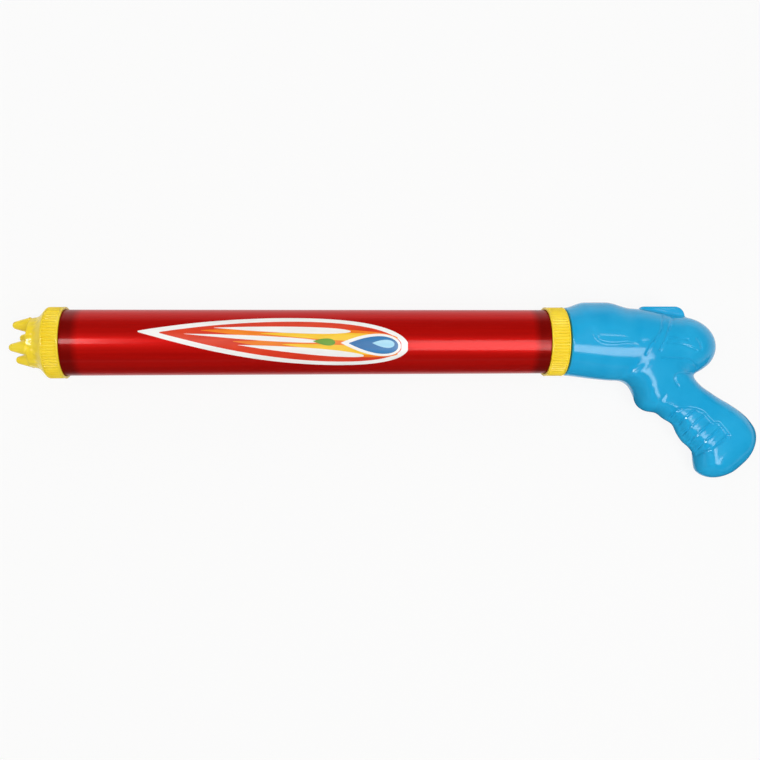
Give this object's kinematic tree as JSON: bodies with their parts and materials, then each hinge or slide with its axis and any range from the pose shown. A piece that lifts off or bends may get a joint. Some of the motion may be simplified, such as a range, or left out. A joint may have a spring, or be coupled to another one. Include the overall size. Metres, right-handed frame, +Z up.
{
  "type": "water squirter",
  "caption": "Pump water squirter: a long tube with a knurled multi-jet cap, a screw collar and a pistol handle that pulls a piston rod in and out.",
  "frame": {"origin": "on the floor that the squirter lies on, under the barrel's axis, at the middle of the flat at the bottom of the rear collar's rear rim", "axes": "+X along the barrel from the jets to the handle, +Z up from the floor, +Y to the side away from the grip"},
  "size_m": [0.5854, 0.1408, 0.0548],
  "materials": {
    "red_tube": "metallic gloss",
    "yellow_plastic": "moulded satin gloss",
    "blue_plastic": "moulded gloss",
    "white_plastic": "moulded satin",
    "seal_rubber": "matt",
    "screw_steel": "zinc plated",
    "sticker_film": "printed gloss film"
  },
  "bodies": {
    "barrel": {"barrel_tube": "red_tube", "nozzle_cap": "yellow_plastic", "nozzle_gasket": "seal_rubber", "rear_collar": "yellow_plastic", "barrel_sticker": "sticker_film"},
    "piston": {"piston_head": "white_plastic", "piston_ring_front": "seal_rubber", "piston_ring_rear": "seal_rubber"},
    "handle": {"plunger_rod": "white_plastic", "rod_plug": "white_plastic", "piston_washer": "screw_steel", "piston_screw": "screw_steel", "rod_pin": "screw_steel", "handle_shell_left": "blue_plastic", "handle_shell_right": "blue_plastic", "handle_screw_1": "screw_steel", "handle_screw_2": "screw_steel", "handle_screw_3": "screw_steel", "handle_screw_4": "screw_steel", "handle_screw_5": "screw_steel", "handle_screw_6": "screw_steel"}
  },
  "joints": [
    {"name": "plunger_slide", "type": "slide", "parent": "barrel", "child": "piston", "axis": [1, 0, 0], "range_m": [0, 0.37]},
    {"name": "handle_twist", "type": "hinge", "parent": "piston", "child": "handle", "pos_m": [0, 0, 0.02742], "axis": [-1, 0, 0], "continuous": true}
  ]
}
